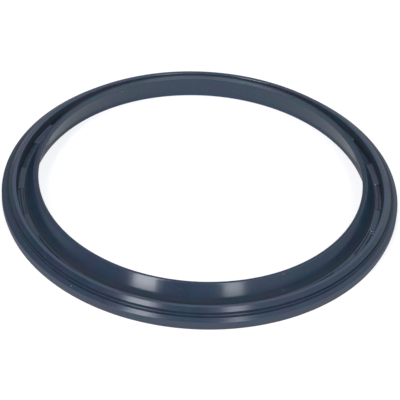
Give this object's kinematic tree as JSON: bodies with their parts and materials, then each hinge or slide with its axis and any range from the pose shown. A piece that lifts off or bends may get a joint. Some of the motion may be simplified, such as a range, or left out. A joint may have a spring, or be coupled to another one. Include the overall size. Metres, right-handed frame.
{
  "type": "wheel hub oil seal",
  "caption": "Moulded rubber ring seal with a tall conical lip, a stepped flange that presses into a hub, and a groove with moulded pockets between them.",
  "frame": {"origin": "on the ring's axis, in the plane of the flat underside that goes into the hub first", "axes": "+Z along the axis, from the underside towards the lip's tip; +X through the middle of one pocket"},
  "size_m": [0.175, 0.175, 0.0132],
  "materials": {
    "rubber": "dark blue-grey moulded nitrile rubber, smooth and satin, with soft broad highlights"
  },
  "bodies": {
    "root": {"seal_ring": "rubber"}
  },
  "joints": []
}
